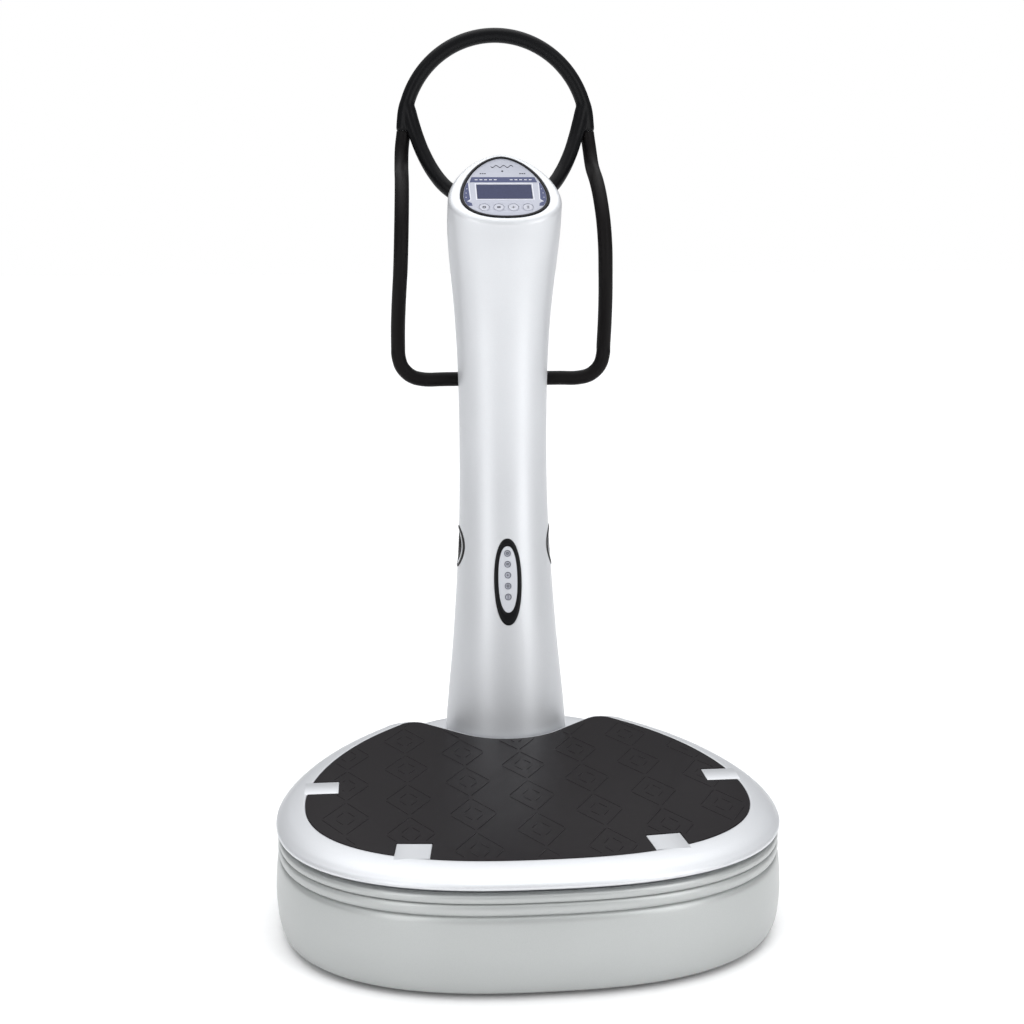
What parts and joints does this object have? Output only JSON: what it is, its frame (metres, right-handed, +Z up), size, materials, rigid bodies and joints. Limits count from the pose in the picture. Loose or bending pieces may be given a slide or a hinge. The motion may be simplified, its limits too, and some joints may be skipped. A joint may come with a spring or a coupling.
{
  "type": "vibration plate",
  "caption": "Rocking vibration platform with a flared column, tilted console, column keypad and a looped handle rail.",
  "frame": {"origin": "on the floor, under the middle of the whole machine's box", "axes": "+Z up, +X to the right of a user who faces the column, +Y from the user towards the column"},
  "size_m": [0.692, 0.7516, 1.2474],
  "materials": {
    "silver_paint": "silver metallic paint on moulded plastic",
    "skirt_paint": "silver metallic paint on moulded plastic, satin",
    "mat_rubber": "embossed matt rubber",
    "foot_rubber": "matt rubber",
    "belt_rubber": "ribbed belt",
    "grip_black": "smooth black sleeve",
    "grip_rubber": "matt rubber sleeve",
    "black_plastic": "fine texture",
    "black_gloss": "gloss",
    "fascia_silver": "printed silver overlay",
    "display_glass": "clear window over a dark blue display",
    "key_plastic": "satin",
    "switch_red": "gloss",
    "circuit_board": "solder mask",
    "black_steel": "black powder coat",
    "bare_steel": "turned",
    "cast_iron": "machined faces on a casting"
  },
  "bodies": {
    "frame": {"base_pan": "black_steel", "foot_front_left": "foot_rubber", "foot_front_right": "foot_rubber", "foot_rear_left": "foot_rubber", "foot_rear_right": "foot_rubber", "lower_housing": "skirt_paint", "rear_cover": "silver_paint", "drive_board": "circuit_board", "power_inlet": "black_plastic", "pivot_block_front": "cast_iron", "pivot_block_rear": "cast_iron", "crank_bearing_left": "cast_iron", "crank_bearing_right": "cast_iron", "motor_body": "black_steel", "motor_bracket": "black_steel", "drive_belt": "belt_rubber", "column_front_shell": "silver_paint", "column_rear_shell": "silver_paint", "column_post": "black_steel", "speaker_cover_left": "black_plastic", "speaker_cover_right": "black_plastic", "console_bezel": "black_gloss", "console_fascia": "fascia_silver", "console_lcd": "display_glass", "console_board": "circuit_board", "keypad_bezel": "black_gloss", "keypad_fascia": "fascia_silver", "keypad_board": "circuit_board", "loop_tube": "bare_steel", "top_grip": "grip_black", "bow_tube": "bare_steel", "bow_grip_left": "grip_black", "bow_grip_right": "grip_black", "side_grip_left": "grip_rubber", "side_grip_right": "grip_rubber"},
    "deck": {"deck_plate": "black_steel", "deck_shell": "silver_paint", "deck_mat": "mat_rubber", "mat_clip_side_left": "silver_paint", "mat_clip_side_right": "silver_paint", "mat_clip_front_left": "silver_paint", "mat_clip_front_right": "silver_paint", "pivot_pin_front": "bare_steel", "pivot_pin_rear": "bare_steel", "rod_pin_left": "bare_steel", "rod_pin_right": "bare_steel"},
    "crank": {"crankshaft": "bare_steel"},
    "rotor": {"motor_rotor": "bare_steel"},
    "rod_left": {"rod_left": "cast_iron"},
    "rod_right": {"rod_right": "cast_iron"},
    "power_switch": {"power_switch": "switch_red"},
    "console_key_1": {"console_key_1": "key_plastic"},
    "console_key_2": {"console_key_2": "key_plastic"},
    "console_key_3": {"console_key_3": "key_plastic"},
    "console_key_4": {"console_key_4": "key_plastic"},
    "keypad_key_1": {"keypad_key_1": "key_plastic"},
    "keypad_key_2": {"keypad_key_2": "key_plastic"},
    "keypad_key_3": {"keypad_key_3": "key_plastic"},
    "keypad_key_4": {"keypad_key_4": "key_plastic"},
    "keypad_key_5": {"keypad_key_5": "key_plastic"}
  },
  "joints": [
    {"name": "deck_rock", "type": "hinge", "parent": "frame", "child": "deck", "pos_m": [0, -0.1057, 0.1], "axis": [0, 1, 0], "range_deg": [-0.8, 0.8]},
    {"name": "crank_spin", "type": "hinge", "parent": "frame", "child": "crank", "pos_m": [0, -0.0857, 0.062], "axis": [1, 0, 0], "continuous": true},
    {"name": "rotor_spin", "type": "hinge", "parent": "frame", "child": "rotor", "pos_m": [0, -0.1907, 0.07], "axis": [1, 0, 0], "continuous": true},
    {"name": "rod_left_swing", "type": "hinge", "parent": "deck", "child": "rod_left", "pos_m": [-0.145, -0.0857, 0.125], "axis": [1, 0, 0], "range_deg": [-2, 2]},
    {"name": "rod_right_swing", "type": "hinge", "parent": "deck", "child": "rod_right", "pos_m": [0.145, -0.0857, 0.125], "axis": [1, 0, 0], "range_deg": [-2, 2]},
    {"name": "power_switch_rock", "type": "hinge", "parent": "frame", "child": "power_switch", "pos_m": [0.019, 0.3396, 0.062], "axis": [1, 0, 0], "range_deg": [0, 14]},
    {"name": "console_key_1_press", "type": "slide", "parent": "frame", "child": "console_key_1", "axis": [0, 0.6334, -0.7738], "range_m": [0, 0.0008], "stiffness_N_per_m": 1500},
    {"name": "console_key_2_press", "type": "slide", "parent": "frame", "child": "console_key_2", "axis": [0, 0.6334, -0.7738], "range_m": [0, 0.0008], "stiffness_N_per_m": 1500},
    {"name": "console_key_3_press", "type": "slide", "parent": "frame", "child": "console_key_3", "axis": [0, 0.6334, -0.7738], "range_m": [0, 0.0008], "stiffness_N_per_m": 1500},
    {"name": "console_key_4_press", "type": "slide", "parent": "frame", "child": "console_key_4", "axis": [0, 0.6334, -0.7738], "range_m": [0, 0.0008], "stiffness_N_per_m": 1500},
    {"name": "keypad_key_1_press", "type": "slide", "parent": "frame", "child": "keypad_key_1", "axis": [0, 0.9853, -0.1711], "range_m": [0, 0.0008], "stiffness_N_per_m": 1500},
    {"name": "keypad_key_2_press", "type": "slide", "parent": "frame", "child": "keypad_key_2", "axis": [0, 0.9853, -0.1711], "range_m": [0, 0.0008], "stiffness_N_per_m": 1500},
    {"name": "keypad_key_3_press", "type": "slide", "parent": "frame", "child": "keypad_key_3", "axis": [0, 0.9853, -0.1711], "range_m": [0, 0.0008], "stiffness_N_per_m": 1500},
    {"name": "keypad_key_4_press", "type": "slide", "parent": "frame", "child": "keypad_key_4", "axis": [0, 0.9853, -0.1711], "range_m": [0, 0.0008], "stiffness_N_per_m": 1500},
    {"name": "keypad_key_5_press", "type": "slide", "parent": "frame", "child": "keypad_key_5", "axis": [0, 0.9853, -0.1711], "range_m": [0, 0.0008], "stiffness_N_per_m": 1500}
  ],
  "couplings": [
    {"joint": "rotor_spin", "follows": "crank_spin", "ratio": 1.5}
  ]
}
